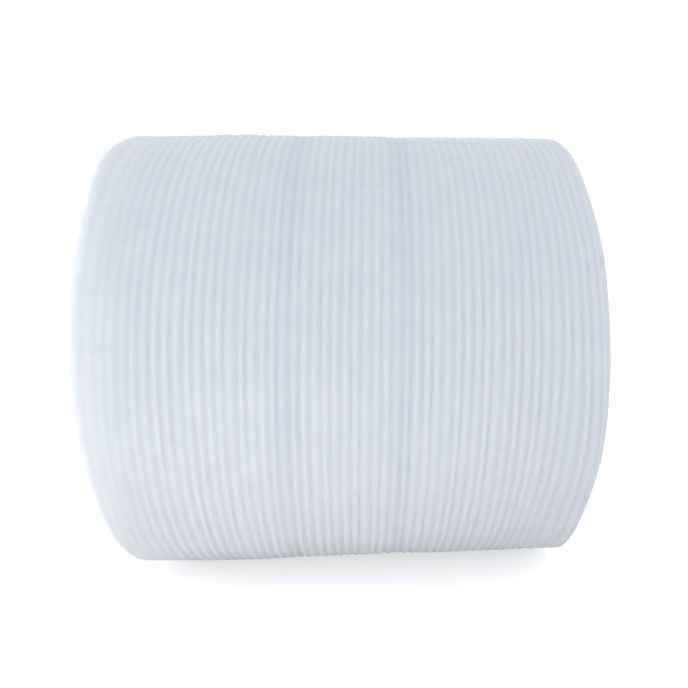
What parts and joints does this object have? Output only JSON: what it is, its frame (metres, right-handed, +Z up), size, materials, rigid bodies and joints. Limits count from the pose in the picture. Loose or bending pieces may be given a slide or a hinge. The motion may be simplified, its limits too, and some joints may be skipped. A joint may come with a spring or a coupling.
{
  "type": "foam wrap roll",
  "caption": "Roll of ribbed white polyethylene foam wrap, wound without a core and lying on its side, with an open eye, a rounded left end and a loose outer end.",
  "frame": {"origin": "middle of the bounding box at the surface that the roll rests on", "axes": "+X along the roll's axis towards its square end, with the rounded end at -X, -Y towards the viewer of the picture, +Z up"},
  "size_m": [0.5, 0.51, 0.5068],
  "materials": {
    "foam": "soft satin closed-cell foam with fine bubbled skin"
  },
  "bodies": {
    "root": {"foam_roll": "foam"}
  },
  "joints": []
}
